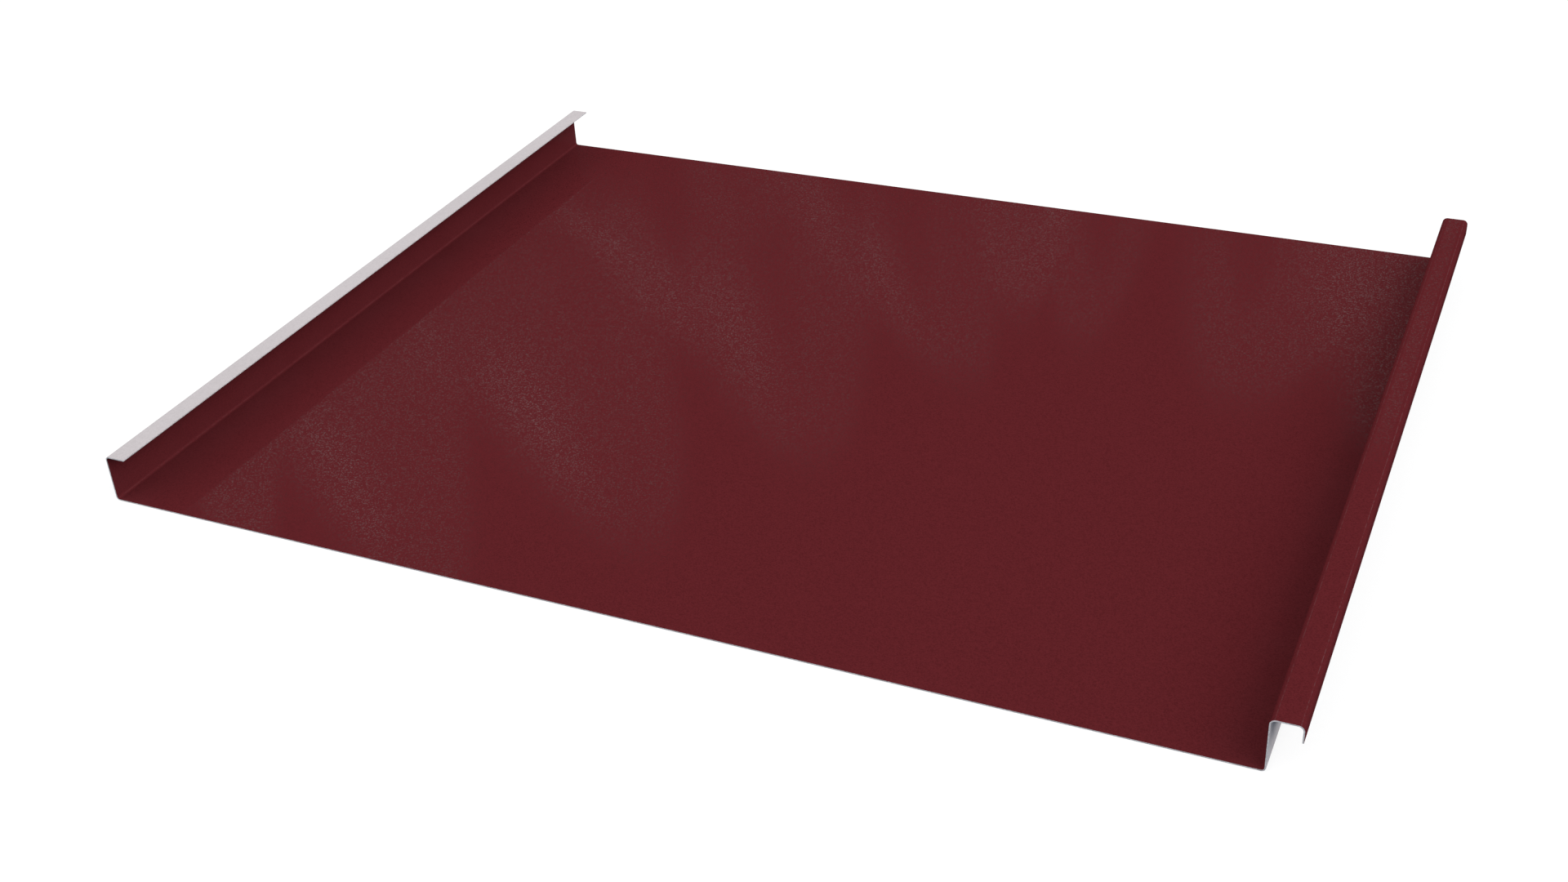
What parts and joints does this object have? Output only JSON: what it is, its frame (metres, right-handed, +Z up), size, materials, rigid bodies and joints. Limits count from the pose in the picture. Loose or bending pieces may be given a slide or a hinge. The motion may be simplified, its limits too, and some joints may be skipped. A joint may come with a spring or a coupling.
{
  "type": "standing seam roof panel",
  "caption": "Flat coated-steel roofing pan with a flanged undercloak upstand along one side and a hooked overcloak upstand along the other, for a double-lock standing seam.",
  "frame": {"origin": "middle of the pan's underside, halfway along the seams and midway between the outer faces of the two upstands", "axes": "+X across the pan, from the undercloak to the overcloak; +Y along the seams; +Z up, from the pan's back coat to its top coat"},
  "size_m": [0.5625, 0.45, 0.0256],
  "materials": {
    "coated_steel": "matt wine red top coat, light grey back coat, bare grey steel at the cut edges"
  },
  "bodies": {
    "root": {"roof_panel": "coated_steel"}
  },
  "joints": []
}
